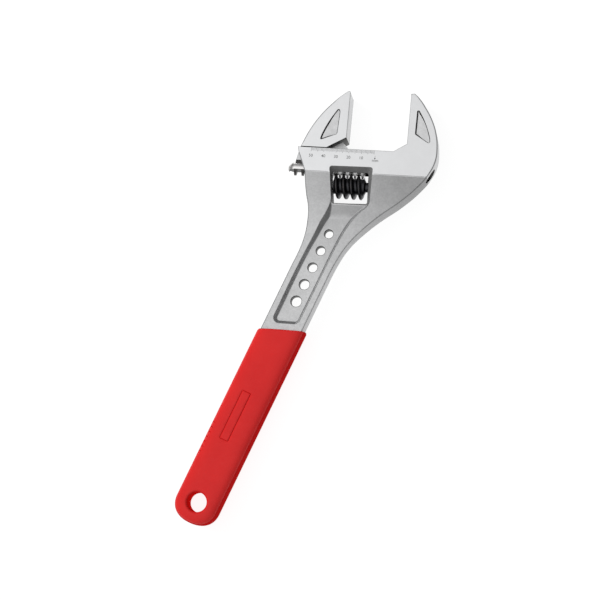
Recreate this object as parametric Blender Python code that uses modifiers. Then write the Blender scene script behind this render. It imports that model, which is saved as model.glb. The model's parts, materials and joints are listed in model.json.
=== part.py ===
"""Adjustable wrench, 375 mm nominal, lying flat with its jaws toward +Y.

Plan layout (millimetres in the constants, metres in the scene):
  X  along the jaw slide, closing direction positive
  Y  along the gripping faces, jaw tips positive, handle negative
  Z  through the thickness
The plan is drawn about the middle of the worm window; the empty 'wrench' then
moves everything so that the origin is under the middle of the whole wrench.
"""
import math

import bmesh
import bpy
from mathutils import Matrix, Vector

MM = 0.001

# ---- whole wrench -------------------------------------------------------
HEAD_HALF = 10.5          # half the thickness of the head and both jaws
NECK_HALF = 10.1          # blasted part of the head, just below the bright faces
HANDLE_HALF = 7.2         # half the thickness of the forged handle
BRIGHT_EDGE_Y = 10.9      # lower border of the bright head faces
LAND_Y = 30.0             # slide land that the movable jaw runs over

# ---- handle, laid out along its own axis --------------------------------
HANDLE_ANGLE = math.radians(20.5)     # from -Y toward -X
HANDLE_START = (-13.4, -37.8)         # centre of the first handle hole
HANDLE_WIDTH = 30.8
HANG_ALONG = 232.0                    # hanging hole, from HANDLE_START
CORE_END_ALONG = 244.6
CORE_HOLE_R = 10.0
HANDLE_HOLES = (6.9, 7.2, 7.6, 8.1, 8.5)   # diameters, jaw end first
HANDLE_HOLE_PITCH = 14.76
CHANNEL_DEPTH = 4.2
CHANNEL_WIDTH = 20.6                  # at the rim
CHANNEL_DRAFT = 0.52                  # run of the walls for each mm of height
CHANNEL_END_Y = -111.6
RAMP_Y = (-24.5, -13.2)               # the floor climbs toward the window here
RAMP_TOP = 8.9

# ---- jaws ---------------------------------------------------------------
FIXED_FACE_X = 42.5
MOVING_FACE_X = -5.7
JAW_TIP_Y = 77.4
RECESS_DEPTH = 1.0
JAW_GAP = 0.3

# ---- slide --------------------------------------------------------------
RAIL_Y = 14.1
RAIL_R = 5.2
NOSE_LENGTH = 4.1                      # pointed end of the rail
NOSE_GROOVE_R = 4.6
RAIL_X = (-51.0, 10.4)
BORE_R = 5.6                # the bore runs right through the head
SLOT_END_X = 45.2
WEB_HALF = 3.2
SLOT_HALF = 3.6

# ---- worm ---------------------------------------------------------------
WORM_Y = 2.1
PITCH = 6.0
CREST_R = 10.2
ROOT_R = 6.35
CREST_W = 1.7
THREAD_ROOT_W = 3.1
THREAD_X = (-13.3, 10.6)
CORE_END_X = 12.2
HUB_R = 3.9
SPOTFACE_R = 4.6           # pocket for the hub in the right window wall
HUB_END_X = 16.9
RIDGE_X = -0.4             # a thread crest faces the rack here
TOOTH_TIP_W = 1.6
TOOTH_ROOT_W = 2.75
RACK_ROOT_Y = 12.85
RACK_SKEW = math.radians(5.6)

# ---- window and pin -----------------------------------------------------
# the walls slope in from the rim on each face to the neck, then run straight through
RIM_TOP_Y, NECK_TOP_Y = 16.3, 10.8
RIM_BOTTOM_Y, NECK_BOTTOM_Y = -12.9, -12.4
RIM_RIGHT_X, NECK_RIGHT_X = 17.3, 13.5
RIM_LEFT_X = (-17.0, -13.0)           # top, bottom
NECK_INSET = 0.5
WINDOW_NECK_HALF = 3.0
WINDOW_OVERCUT = 1.0
PIN_R = 2.5
PIN_X = (-26.0, 24.0)
PIN_HEAD_R = 3.9
PIN_HEAD_X = -33.6          # the slotted head sits just inside the left flank
PIN_CLEARANCE = 0.4
SPRING_R = 3.9
SPRING_WIRE_R = 0.5
SPRING_X = (-14.3, -9.0)
SPRING_TURNS = 3.5
COUNTERBORE_R = 4.8
COUNTERBORE_X = -8.3

# ---- grip ---------------------------------------------------------------
GRIP_HALF_WIDTH = 17.7
GRIP_HALF = 10.2
GRIP_ROUND = 5.4
GRIP_TOP_Y = -117.0
GRIP_END_ALONG = 248.9
GRIP_END_BOW = 16.0                    # the rounded end begins this far before it
GRIP_END_POWER = 2.3
HANG_R = 7.6
LINING_R = 9.6

ORIGIN_SHIFT = (23.355, 97.33)         # plan point of the origin, negated

# turns a plate's plan into a side view: its x becomes Y and its y becomes Z
TURN_SIDEWAYS = Matrix(((0, 0, 1, 0), (1, 0, 0, 0), (0, 1, 0, 0), (0, 0, 0, 1)))


# ---------------------------------------------------------------- helpers
def clear_scene():
    for ob in list(bpy.data.objects):
        bpy.data.objects.remove(ob, do_unlink=True)


def new_collection(name):
    coll = bpy.data.collections.new(name)
    bpy.context.scene.collection.children.link(coll)
    return coll


def make_material(name, colour, roughness, metallic):
    mat = bpy.data.materials.new(name)
    mat.use_nodes = True
    shader = mat.node_tree.nodes["Principled BSDF"]
    shader.inputs["Base Color"].default_value = (*colour, 1.0)
    shader.inputs["Roughness"].default_value = roughness
    shader.inputs["Metallic"].default_value = metallic
    mat.diffuse_color = (*colour, 1.0)
    return mat


def add_object(name, mesh, coll):
    ob = bpy.data.objects.new(name, mesh)
    coll.objects.link(ob)
    return ob


def as_cutter(ob):
    ob.hide_render = True
    ob.display_type = "WIRE"
    return ob


def mesh_from_curve(curve_ob, name, coll):
    """Turn a filled curve into a welded mesh object and remove the curve."""
    bpy.context.view_layer.update()
    ev = curve_ob.evaluated_get(bpy.context.evaluated_depsgraph_get())
    mesh = bpy.data.meshes.new_from_object(ev)
    bm = bmesh.new()
    bm.from_mesh(mesh)
    bmesh.ops.remove_doubles(bm, verts=bm.verts, dist=1e-6)
    bmesh.ops.recalc_face_normals(bm, faces=bm.faces)
    bm.to_mesh(mesh)
    bm.free()
    mesh.name = name
    ob = add_object(name, mesh, coll)
    ob.matrix_world = curve_ob.matrix_world.copy()
    data = curve_ob.data
    bpy.data.objects.remove(curve_ob)
    bpy.data.curves.remove(data)
    return ob


def outline(name, points, coll, half, resolution=5, rounding=0.0, segments=3):
    """A plate from a closed outline. Points are (x, y) corners, or (x, y, 's')
    where the edge runs on smoothly."""
    curve = bpy.data.curves.new(name + "_outline", "CURVE")
    curve.dimensions = "2D"
    curve.fill_mode = "BOTH"
    curve.resolution_u = resolution
    curve.extrude = (half - rounding) * MM
    if rounding:
        curve.bevel_depth = rounding * MM
        curve.bevel_resolution = segments
        curve.offset = -rounding * MM
    spline = curve.splines.new("BEZIER")
    spline.bezier_points.add(len(points) - 1)
    for bp, p in zip(spline.bezier_points, points):
        bp.co = (p[0] * MM, p[1] * MM, 0)
        kind = "AUTO" if len(p) == 3 else "VECTOR"
        bp.handle_left_type = bp.handle_right_type = kind
    spline.use_cyclic_u = True
    ob = bpy.data.objects.new(name + "_outline", curve)
    coll.objects.link(ob)
    return mesh_from_curve(ob, name, coll)


def rounded(corners, steps=4):
    """Corner list (x, y, radius) to a point list with the corners as arcs."""
    out = []
    n = len(corners)
    for i, (x, y, r) in enumerate(corners):
        p = Vector((x, y))
        if r <= 0:
            out.append((x, y))
            continue
        a = (Vector(corners[i - 1][:2]) - p).normalized()
        b = (Vector(corners[(i + 1) % n][:2]) - p).normalized()
        half = a.angle(b) / 2
        centre = p + (a + b).normalized() * (r / math.sin(half))
        start = p + a * (r / math.tan(half)) - centre
        end = p + b * (r / math.tan(half)) - centre
        sweep = start.angle_signed(end)
        for k in range(steps + 1):
            v = Matrix.Rotation(-sweep * k / steps, 2) @ start
            out.append((centre.x + v.x, centre.y + v.y))
    return out


def arc(start, end, radius, steps):
    """Points on an arc from start to end that bulges to the left of the way."""
    a, b = Vector(start), Vector(end)
    chord = b - a
    middle = (a + b) / 2
    across = Vector((chord.y, -chord.x)).normalized()
    centre = middle + across * math.sqrt(radius ** 2 - chord.length ** 2 / 4)
    first, last = a - centre, b - centre
    sweep = first.angle_signed(last)
    return [tuple(centre + Matrix.Rotation(-sweep * k / steps, 2) @ first)
            for k in range(steps + 1)]


def box(name, lo, hi, coll):
    bm = bmesh.new()
    bmesh.ops.create_cube(bm, size=1.0)
    size = Vector([h - l for l, h in zip(lo, hi)])
    mid = Vector([(h + l) / 2 for l, h in zip(lo, hi)])
    for v in bm.verts:
        v.co = Vector([c * s + m for c, s, m in zip(v.co, size, mid)]) * MM
    mesh = bpy.data.meshes.new(name)
    bm.to_mesh(mesh)
    bm.free()
    return add_object(name, mesh, coll)


def turned_x(name, profile, y, coll, sides=32):
    """A solid turned about a line along X by a Screw modifier. Profile is
    (x, radius) pairs from the -X end to the +X end, both on the axis."""
    mesh = bpy.data.meshes.new(name)
    mesh.from_pydata([(x * MM, r * MM, 0) for x, r in reversed(profile)],
                     [(i, i + 1) for i in range(len(profile) - 1)], [])
    ob = add_object(name, mesh, coll)
    mod = ob.modifiers.new("turn", "SCREW")
    mod.axis = "X"
    mod.angle = 2 * math.pi
    mod.steps = mod.render_steps = sides
    mod.use_merge_vertices = True
    mod.merge_threshold = 1e-6
    ob.location = (0, y * MM, 0)
    return ob


def disc_z(name, x, y, radius, half, coll, sides=32):
    bm = bmesh.new()
    bmesh.ops.create_cone(bm, cap_ends=True, segments=sides, radius1=radius * MM,
                          radius2=radius * MM, depth=2 * half * MM)
    mesh = bpy.data.meshes.new(name)
    bm.to_mesh(mesh)
    bm.free()
    ob = add_object(name, mesh, coll)
    ob.location = (x * MM, y * MM, 0)
    return ob


def boolean(ob, tool, operation):
    mod = ob.modifiers.new(tool.name, "BOOLEAN")
    mod.operation = operation
    mod.object = tool
    mod.solver = "EXACT"
    return mod


def soften(ob, width, segments=2, angle=35):
    mod = ob.modifiers.new("edges", "BEVEL")
    mod.width = width * MM
    mod.segments = segments
    mod.limit_method = "ANGLE"
    mod.angle_limit = math.radians(angle)
    mod.miter_outer = "MITER_ARC"
    mod.use_clamp_overlap = True
    return mod


def on_handle(along, across):
    """Plan point at a distance down the handle and to its right."""
    s, c = math.sin(HANDLE_ANGLE), math.cos(HANDLE_ANGLE)
    return (HANDLE_START[0] - s * along + c * across,
            HANDLE_START[1] - c * along - s * across)


def handle_x_at(y, across):
    """X of the line parallel to the handle axis where it reaches this y."""
    along = (HANDLE_START[1] - y - math.sin(HANDLE_ANGLE) * across) / math.cos(HANDLE_ANGLE)
    return on_handle(along, across)[0]


# ------------------------------------------------------------------ body
def body_outline():
    half = HANDLE_WIDTH / 2
    right = [(45.4, JAW_TIP_Y + 0.4), (49.0, 74.6, "s"), (55.4, 66.2, "s"),
             (60.8, 57.0, "s"), (64.8, 46.4, "s"), (66.7, 34.6, "s"), (66.2, 24.2, "s"),
             (62.4, 14.2, "s"), (54.6, 3.2, "s"), (40.6, -10.7, "s"), (26.1, -22.3, "s"),
             (13.2, -34.4, "s"), (2.4, -47.2, "s"), (-5.0, -60.6, "s")]
    straight = [(*on_handle(38, half), "s"), on_handle(48, half)]
    end = rounded([(*on_handle(CORE_END_ALONG, half), 11.0),
                   (*on_handle(CORE_END_ALONG, -half), 11.0)] +
                  [(*on_handle(48, -half), 0), (*on_handle(48, half), 0)])[:10]
    left = [on_handle(46, -half), (*on_handle(34, -half), "s"), (-35.4, -53.0, "s"),
            (-32.2, -41.4, "s"), (-30.8, -29.4, "s"), (-31.2, -17.8, "s"),
            (-33.4, -8.6, "s"), (-35.0, -0.6, "s"), (-36.4, 10.1), (-42.6, 25.2)]
    top = [(-43.6, LAND_Y), (32.4, LAND_Y), (FIXED_FACE_X, 36.6), (FIXED_FACE_X, JAW_TIP_Y)]
    return top + right + straight + end + left


def side_profile(coll):
    """Plate seen from the side: thick at the jaws, thinner at the handle."""
    upper = [(95, HEAD_HALF), (BRIGHT_EDGE_Y + 0.3, HEAD_HALF),
             (BRIGHT_EDGE_Y - 0.3, NECK_HALF), (-6.0, NECK_HALF),
             (-14.0, NECK_HALF - 0.2, "s"), (-30.0, HANDLE_HALF + 1.1, "s"),
             (-46.0, HANDLE_HALF + 0.1, "s"), (-54.0, HANDLE_HALF), (-300, HANDLE_HALF)]
    lower = [(p[0], -p[1], *p[2:]) for p in reversed(upper)]
    ob = outline("thickness", upper + lower, coll, 150)
    ob.data.transform(TURN_SIDEWAYS)
    return ob


def loft_z(name, low_points, low_z, high_points, high_z, coll):
    """A solid between two outlines with equal counts at two heights."""
    bm = bmesh.new()
    low = [bm.verts.new((x * MM, y * MM, low_z * MM)) for x, y in low_points]
    high = [bm.verts.new((x * MM, y * MM, high_z * MM)) for x, y in high_points]
    n = len(low)
    bm.faces.new(low)
    bm.faces.new(high)
    for i in range(n):
        bm.faces.new((low[i], low[(i + 1) % n], high[(i + 1) % n], high[i]))
    bmesh.ops.triangulate(bm, faces=[f for f in bm.faces if len(f.verts) > 4])
    bmesh.ops.recalc_face_normals(bm, faces=bm.faces)
    mesh = bpy.data.meshes.new(name)
    bm.to_mesh(mesh)
    bm.free()
    return add_object(name, mesh, coll)


def channel_outline(inset):
    """The long recess: open to the window above, fanning in to the handle."""
    half = CHANNEL_WIDTH / 2 - inset
    end = CHANNEL_END_Y + inset * 1.3
    fan_left = [(-11.6 + inset, -9.0), (-12.6 + inset, -15.0), (-15.2 + inset, -21.6),
                (-19.4 + inset, -29.4), (-24.2 + inset, -40.0)]
    fan_right = [(-1.2 - inset, -36.4), (3.5 - inset, -27.8), (9.4 - inset, -19.6),
                 (14.8 - inset, -14.0), (15.7 - inset, -9.0)]
    foot = rounded([(handle_x_at(end, half), end, 3.0), (handle_x_at(end, -half), end, 3.0),
                    (*on_handle(20, -half), 0), (*on_handle(24, half), 0)])[:10]
    return (fan_left + [on_handle(20, -half)] + foot[::-1] +
            [on_handle(24, half), on_handle(12, half)] + fan_right)


def channel_cutter(name, sign, coll):
    """Sloping walls from the floor up past the rim, and a ramp up to the window."""
    floor = HANDLE_HALF - CHANNEL_DEPTH
    top = HEAD_HALF + 1.5
    cutter = loft_z(name, channel_outline((HANDLE_HALF - floor) * CHANNEL_DRAFT), sign * floor,
                    channel_outline((HANDLE_HALF - top) * CHANNEL_DRAFT), sign * top, coll)
    ramp = outline(name + "_ramp", [(RAMP_Y[0], sign * floor), (RAMP_Y[1], sign * RAMP_TOP),
                                    (0, sign * RAMP_TOP), (0, 0), (RAMP_Y[0], 0)], coll, 60)
    ramp.data.transform(TURN_SIDEWAYS)
    boolean(cutter, as_cutter(ramp), "DIFFERENCE")
    return as_cutter(cutter)


def window_outline(overcut):
    """The window at its neck with overcut 0, or as far past the rim as given."""
    depth = HEAD_HALF - WINDOW_NECK_HALF
    t = (depth + overcut) / depth if overcut else 0
    top = NECK_TOP_Y + (RIM_TOP_Y - NECK_TOP_Y) * t
    bottom = NECK_BOTTOM_Y + (RIM_BOTTOM_Y - NECK_BOTTOM_Y) * t
    right = NECK_RIGHT_X + (RIM_RIGHT_X - NECK_RIGHT_X) * t
    lean = (RIM_LEFT_X[1] - RIM_LEFT_X[0]) / (RIM_TOP_Y - RIM_BOTTOM_Y)
    inset = NECK_INSET * (1 - t)
    left_top = RIM_LEFT_X[0] + (RIM_TOP_Y - top) * lean + inset
    left_bottom = RIM_LEFT_X[0] + (RIM_TOP_Y - bottom) * lean + inset
    return rounded([(left_top, top, 1.4), (right, top, 1.4), (right, bottom, 2.0),
                    (left_bottom, bottom, 2.0)])


def build_body(parts, tools, steel):
    body = outline("wrench_body", body_outline(), parts, 12)
    side = as_cutter(side_profile(tools))
    boolean(body, side, "INTERSECT")
    soften(body, 0.9, 2, 38)

    # worm window, right through
    neck, rim = window_outline(0), window_outline(WINDOW_OVERCUT)
    boolean(body, as_cutter(outline("window_neck", neck, tools, 14)), "DIFFERENCE")
    for sign, side_name in ((1, "front"), (-1, "back")):
        slope = loft_z(f"window_slope_{side_name}", neck, sign * WINDOW_NECK_HALF,
                       rim, sign * (HEAD_HALF + WINDOW_OVERCUT), tools)
        boolean(body, as_cutter(slope), "DIFFERENCE")

    # long recess on both sides
    boolean(body, channel_cutter("channel_front", 1, tools), "DIFFERENCE")
    boolean(body, channel_cutter("channel_back", -1, tools), "DIFFERENCE")

    for i, diameter in enumerate(HANDLE_HOLES):
        x, y = on_handle(i * HANDLE_HOLE_PITCH, 0)
        boolean(body, as_cutter(disc_z(f"hole_{i + 1}", x, y, diameter / 2, 14, tools)),
                "DIFFERENCE")
    x, y = on_handle(HANG_ALONG, 0)
    boolean(body, as_cutter(disc_z("core_hole", x, y, CORE_HOLE_R, 14, tools)), "DIFFERENCE")

    # slide: bore for the rail and slot for the web
    bore = turned_x("rail_bore", [(-70, 0), (-70, BORE_R), (80, BORE_R), (80, 0)],
                    RAIL_Y, tools)
    slot = outline("web_slot", [(-70, RAIL_Y), (-70, 40), (SLOT_END_X - 6.8, 40),
                                (SLOT_END_X, 33.2), (SLOT_END_X, RAIL_Y)], tools, SLOT_HALF)
    boolean(body, as_cutter(bore), "DIFFERENCE")
    boolean(body, as_cutter(slot), "DIFFERENCE")

    # pin: a wide hole for its head on the left, a blind hole on the right
    wide = PIN_HEAD_R + PIN_CLEARANCE
    narrow = PIN_R + PIN_CLEARANCE
    step_x = PIN_X[0] + PIN_CLEARANCE
    pin_bore = turned_x("pin_bore", [
        (-70, 0), (-70, wide), (step_x, wide), (step_x, narrow),
        (PIN_X[1] + PIN_CLEARANCE, narrow), (PIN_X[1] + PIN_CLEARANCE, 0)], WORM_Y, tools, 28)
    boolean(body, as_cutter(pin_bore), "DIFFERENCE")
    spotface = turned_x("spotface", [(0, 0), (0, SPOTFACE_R), (RIM_RIGHT_X, SPOTFACE_R),
                                     (RIM_RIGHT_X, 0)], WORM_Y, tools, 30)
    boolean(body, as_cutter(spotface), "DIFFERENCE")

    # shallow three-cornered recess on each side of the fixed jaw
    back = arc((60.6, 39.6), (49.4, 63.6), 70.0, 6)
    corners = [(48.6, 62.6), (48.6, 44.8), (49.4, 43.6), (59.2, 38.2)] + back
    for sign in (1, -1):
        recess = outline(f"fixed_recess_{'front' if sign > 0 else 'back'}", corners, tools, 2)
        recess.location.z = sign * (HEAD_HALF - RECESS_DEPTH + 2) * MM
        boolean(body, as_cutter(recess), "DIFFERENCE")

    body.data.materials.clear()
    body.data.materials.append(steel)
    return body


# ----------------------------------------------------------- movable jaw
def build_jaw(parts, tools, steel):
    low = LAND_Y + JAW_GAP
    back = arc((-41.4, low), (-7.4, JAW_TIP_Y), 92.0, 10)
    cheeks = outline("movable_jaw", back + [(MOVING_FACE_X, JAW_TIP_Y - 0.4),
                                            (MOVING_FACE_X, 39.2), (-20.8, low)],
                     parts, HEAD_HALF)
    soften(cheeks, 0.7, 2, 38)
    left = arc((-26.2, 38.2), (-13.9, 61.6), 84.0, 6)
    corners = left + [(-13.0, 60.8), (-13.2, 43.4), (-18.4, 39.9), (-25.4, 36.9)]
    for sign in (1, -1):
        recess = outline(f"moving_recess_{'front' if sign > 0 else 'back'}", corners, tools, 2)
        recess.location.z = sign * (HEAD_HALF - RECESS_DEPTH + 2) * MM
        boolean(cheeks, as_cutter(recess), "DIFFERENCE")

    # web down into the slot
    web = outline("web", [(-46.4, RAIL_Y), (-44.2, 26.8), (-38.4, low + 1.3), (-30.0, 38.0),
                          (-16.0, 44.4), (-4.6, 32.2), (-4.6, RAIL_Y)], tools, WEB_HALF)
    boolean(cheeks, as_cutter(web), "UNION")

    # round rail with the rack cut into its underside
    nose = RAIL_X[0] + NOSE_LENGTH
    rail = turned_x("rail", [(RAIL_X[0], 0), (RAIL_X[0], 1.7), (RAIL_X[0] + 0.5, 2.4),
                             (nose - 1.6, 4.6), (nose, RAIL_R - 0.2), (nose, NOSE_GROOVE_R),
                             (nose + 0.6, NOSE_GROOVE_R), (nose + 0.6, RAIL_R),
                             (RAIL_X[1] - 1.2, RAIL_R), (RAIL_X[1], RAIL_R - 1.2),
                             (RAIL_X[1], 0)], RAIL_Y, tools, 32)
    first = RIDGE_X - 8 * PITCH
    gap_top = PITCH - TOOTH_ROOT_W       # width of the gap at the tooth roots
    gap_mouth = PITCH - TOOTH_TIP_W
    mouth_y = RAIL_Y - RAIL_R
    widen = (gap_mouth - gap_top) / (RACK_ROOT_Y - mouth_y)
    reach = mouth_y - 2.0
    wide = gap_mouth + widen * 2.0
    for k in range(11):
        x = first + k * PITCH
        cut = outline(f"rack_gap_{k + 1}", [(-wide / 2, reach - RAIL_Y),
                                            (-gap_top / 2, RACK_ROOT_Y - RAIL_Y),
                                            (gap_top / 2, RACK_ROOT_Y - RAIL_Y),
                                            (wide / 2, reach - RAIL_Y)], tools, 8)
        cut.rotation_euler = (0, RACK_SKEW, 0)
        cut.location = (x * MM, RAIL_Y * MM, 0)
        boolean(rail, as_cutter(cut), "DIFFERENCE")
    boolean(cheeks, as_cutter(rail), "UNION")
    cheeks.data.materials.clear()
    cheeks.data.materials.append(steel)
    return cheeks


# ------------------------------------------------------------------ worm
def build_worm(parts, tools, black):
    """Right-hand single thread; the object's origin is on its axis."""
    bm = bmesh.new()
    turns = 6.0
    per_turn = 28
    start_x = RIDGE_X - PITCH * 3.0
    section = [(-THREAD_ROOT_W / 2 - 0.2, ROOT_R - 0.9), (THREAD_ROOT_W / 2 + 0.2, ROOT_R - 0.9),
               (CREST_W / 2, CREST_R), (-CREST_W / 2, CREST_R)]
    # at the start the ridge faces +Y; each turn about +X carries it one pitch along
    verts = [bm.verts.new(((start_x + x) * MM, r * MM, 0)) for x, r in section]
    face = bm.faces.new(verts)
    steps = int(turns * per_turn)
    bmesh.ops.spin(bm, geom=[face], cent=(0, 0, 0), axis=(1, 0, 0),
                   dvec=(PITCH / per_turn * MM, 0, 0), angle=turns * 2 * math.pi,
                   steps=steps, use_duplicate=False)
    bmesh.ops.remove_doubles(bm, verts=bm.verts, dist=1e-6)
    bmesh.ops.recalc_face_normals(bm, faces=bm.faces)
    mesh = bpy.data.meshes.new("worm_thread")
    bm.to_mesh(mesh)
    bm.free()
    thread = as_cutter(add_object("worm_thread", mesh, tools))
    thread.location.y = WORM_Y * MM
    # trimmed by an envelope with chamfered ends
    x0, x1 = THREAD_X
    envelope = turned_x("worm_envelope", [
        (x0 + 0.2, 0), (x0 + 0.2, CREST_R - 1.6), (x0 + 1.6, CREST_R + 0.8),
        (x1 - 1.6, CREST_R + 0.8), (x1 - 0.2, CREST_R - 1.6), (x1 - 0.2, 0)],
        WORM_Y, tools, 47)
    boolean(thread, as_cutter(envelope), "INTERSECT")

    core = turned_x("adjusting_worm", [
        (x0, 0), (x0, ROOT_R), (CORE_END_X - 1.2, ROOT_R), (CORE_END_X, HUB_R),
        (HUB_END_X - 0.4, HUB_R), (HUB_END_X, HUB_R - 0.4), (HUB_END_X, 0)],
        WORM_Y, parts, 34)
    boolean(core, thread, "UNION")
    hole = turned_x("worm_hole", [
        (x0 - 2, 0), (x0 - 2, COUNTERBORE_R), (COUNTERBORE_X, COUNTERBORE_R),
        (COUNTERBORE_X, PIN_R + 0.35), (HUB_END_X + 2, PIN_R + 0.35), (HUB_END_X + 2, 0)],
        WORM_Y, tools, 26)
    boolean(core, as_cutter(hole), "DIFFERENCE")
    core.data.materials.append(black)
    return core


def build_pin(parts, tools, steel):
    """Screw pin put in from the left, with a driver slot in its head."""
    x0, x1 = PIN_X
    chamfer = 0.5
    pin = turned_x("worm_pin", [
        (PIN_HEAD_X, 0), (PIN_HEAD_X, PIN_HEAD_R - chamfer), (PIN_HEAD_X + chamfer, PIN_HEAD_R),
        (x0, PIN_HEAD_R), (x0, PIN_R), (x1 - chamfer, PIN_R), (x1, PIN_R - chamfer), (x1, 0)],
        WORM_Y, parts, 28)
    slot = box("driver_slot", (PIN_HEAD_X - 1, -8, -0.6), (PIN_HEAD_X + 1.8, 8, 0.6), tools)
    slot.location.y = WORM_Y * MM
    boolean(pin, as_cutter(slot), "DIFFERENCE")
    pin.data.materials.append(steel)
    return pin


def build_spring(parts, steel):
    """Compression spring: closed end coils and open ones between."""
    curve = bpy.data.curves.new("worm_spring", "CURVE")
    curve.dimensions = "3D"
    curve.bevel_depth = SPRING_WIRE_R * MM
    curve.bevel_resolution = 2
    curve.use_fill_caps = True
    spline = curve.splines.new("POLY")
    per_turn = 18
    count = int(SPRING_TURNS * per_turn) + 1
    x0 = SPRING_X[0] + SPRING_WIRE_R
    x1 = SPRING_X[1] - SPRING_WIRE_R
    spline.points.add(count - 1)
    for i, pt in enumerate(spline.points):
        angle = 2 * math.pi * i / per_turn
        x = x0 + (x1 - x0) * i / (count - 1)
        pt.co = (x * MM, SPRING_R * MM * math.cos(angle), SPRING_R * MM * math.sin(angle), 1)
    ob = bpy.data.objects.new("worm_spring_wire", curve)
    parts.objects.link(ob)
    ob.location.y = WORM_Y * MM
    bpy.context.view_layer.update()
    spring = mesh_from_curve(ob, "worm_spring", parts)
    spring.data.materials.clear()
    spring.data.materials.append(steel)
    return spring


# ------------------------------------------------------------------ grip
def signed_power(value, power):
    return math.copysign(abs(value) ** power, value)


def grip_outline(half, end_along, top_y):
    """Straight-sided sleeve with a superelliptic end; the top is cut along X."""
    end = []
    for k in range(17):
        angle = math.pi * k / 16
        across = half * signed_power(math.cos(angle), 2 / GRIP_END_POWER)
        along = GRIP_END_BOW * math.sin(angle) ** (2 / GRIP_END_POWER)
        end.append(on_handle(end_along - GRIP_END_BOW + along, across))
    return [(handle_x_at(top_y, -half), top_y), (handle_x_at(top_y, half), top_y)] + end


def build_grip(parts, tools, red):
    grip = outline("grip_sleeve", grip_outline(GRIP_HALF_WIDTH, GRIP_END_ALONG,
                                               GRIP_TOP_Y + 8), parts, GRIP_HALF,
                   2, GRIP_ROUND, 3)
    top = box("grip_top_cut", (-120, GRIP_TOP_Y, -20), (40, GRIP_TOP_Y + 40, 20), tools)
    boolean(grip, as_cutter(top), "DIFFERENCE")
    clear = 0.3
    half = HANDLE_WIDTH / 2 + clear
    end = rounded([(*on_handle(CORE_END_ALONG + clear, half), 11.3),
                   (*on_handle(CORE_END_ALONG + clear, -half), 11.3),
                   (*on_handle(60, -half), 0), (*on_handle(60, half), 0)])
    cavity = outline("grip_cavity", end, tools, HANDLE_HALF + clear)
    x, y = on_handle(HANG_ALONG, 0)
    lining = as_cutter(disc_z("lining_keep", x, y, LINING_R, 20, tools))
    boolean(cavity, lining, "DIFFERENCE")
    boolean(grip, as_cutter(cavity), "DIFFERENCE")
    boolean(grip, as_cutter(disc_z("hanging_hole", x, y, HANG_R, 20, tools)), "DIFFERENCE")
    grip.data.materials.clear()
    grip.data.materials.append(red)
    return grip


def main():
    clear_scene()
    parts = new_collection("adjustable_wrench")
    tools = new_collection("cutters")
    bright = make_material("satin_chrome", (0.72, 0.73, 0.75), 0.28, 1.0)
    black = make_material("black_oxide", (0.035, 0.035, 0.04), 0.35, 0.9)
    plain = make_material("plain_steel", (0.45, 0.44, 0.43), 0.35, 1.0)
    red = make_material("red_sleeve", (0.62, 0.03, 0.035), 0.45, 0.0)

    pieces = [build_body(parts, tools, bright), build_jaw(parts, tools, bright),
              build_worm(parts, tools, black), build_pin(parts, tools, plain),
              build_spring(parts, plain), build_grip(parts, tools, red)]

    root = bpy.data.objects.new("wrench", None)
    parts.objects.link(root)
    for ob in pieces + list(tools.objects):
        ob.parent = root
    root.location = (ORIGIN_SHIFT[0] * MM, ORIGIN_SHIFT[1] * MM, HEAD_HALF * MM)
    for ob in pieces:
        ob.data.shade_smooth()
        ob.data.set_sharp_from_angle(angle=math.radians(30))
    bpy.context.view_layer.update()


main()
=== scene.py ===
"""Looks of the adjustable wrench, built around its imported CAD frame.

The plan is drawn in millimetres about the middle of the worm window, as in the
part's own source: X along the slide, Y toward the jaw tips, Z through the
thickness. Meshes are made in metres, in the frame's place.
"""
import json
import math

import bmesh
import bpy
import numpy as np
from mathutils import Matrix, Vector
from mathutils.geometry import delaunay_2d_cdt


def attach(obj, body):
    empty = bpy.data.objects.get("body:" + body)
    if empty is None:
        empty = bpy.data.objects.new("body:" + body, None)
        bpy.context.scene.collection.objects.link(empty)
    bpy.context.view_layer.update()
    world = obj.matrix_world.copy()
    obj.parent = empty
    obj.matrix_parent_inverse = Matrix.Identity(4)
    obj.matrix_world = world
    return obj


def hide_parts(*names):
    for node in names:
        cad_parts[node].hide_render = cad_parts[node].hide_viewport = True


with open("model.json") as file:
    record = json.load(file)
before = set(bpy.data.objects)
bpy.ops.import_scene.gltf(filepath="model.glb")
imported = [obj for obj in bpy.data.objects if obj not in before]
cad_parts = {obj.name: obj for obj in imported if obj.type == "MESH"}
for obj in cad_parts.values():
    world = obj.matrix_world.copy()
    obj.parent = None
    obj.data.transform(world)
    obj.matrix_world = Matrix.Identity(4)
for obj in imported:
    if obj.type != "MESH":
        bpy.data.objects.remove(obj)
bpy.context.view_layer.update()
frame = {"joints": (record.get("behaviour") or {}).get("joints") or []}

MM = 0.001

# ---- sizes shared with the part, millimetres -----------------------------
HEAD_HALF = 10.5
NECK_HALF = 10.1
HANDLE_HALF = 7.2
BRIGHT_EDGE_Y = 10.9
LAND_Y = 30.0
HANDLE_ANGLE = math.radians(20.5)
HANDLE_START = (-13.4, -37.8)
HANDLE_WIDTH = 30.8
HANG_ALONG = 232.0
CORE_END_ALONG = 244.6
CORE_HOLE_R = 10.0
HANDLE_HOLES = (6.9, 7.2, 7.6, 8.1, 8.5)
HANDLE_HOLE_PITCH = 14.76
CHANNEL_FLOOR = 3.0
CHANNEL_WIDTH = 20.6
CHANNEL_DRAFT = 0.52
CHANNEL_END_Y = -111.6
RAMP_Y = (-24.5, -13.2)
RAMP_TOP = 8.9
FIXED_FACE_X = 42.5
MOVING_FACE_X = -5.7
JAW_TIP_Y = 77.4
RECESS_DEPTH = 1.0
JAW_GAP = 0.3
RAIL_Y = 14.1
RAIL_R = 5.2
RAIL_X = (-51.0, 10.4)
NOSE_LENGTH = 4.1
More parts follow.
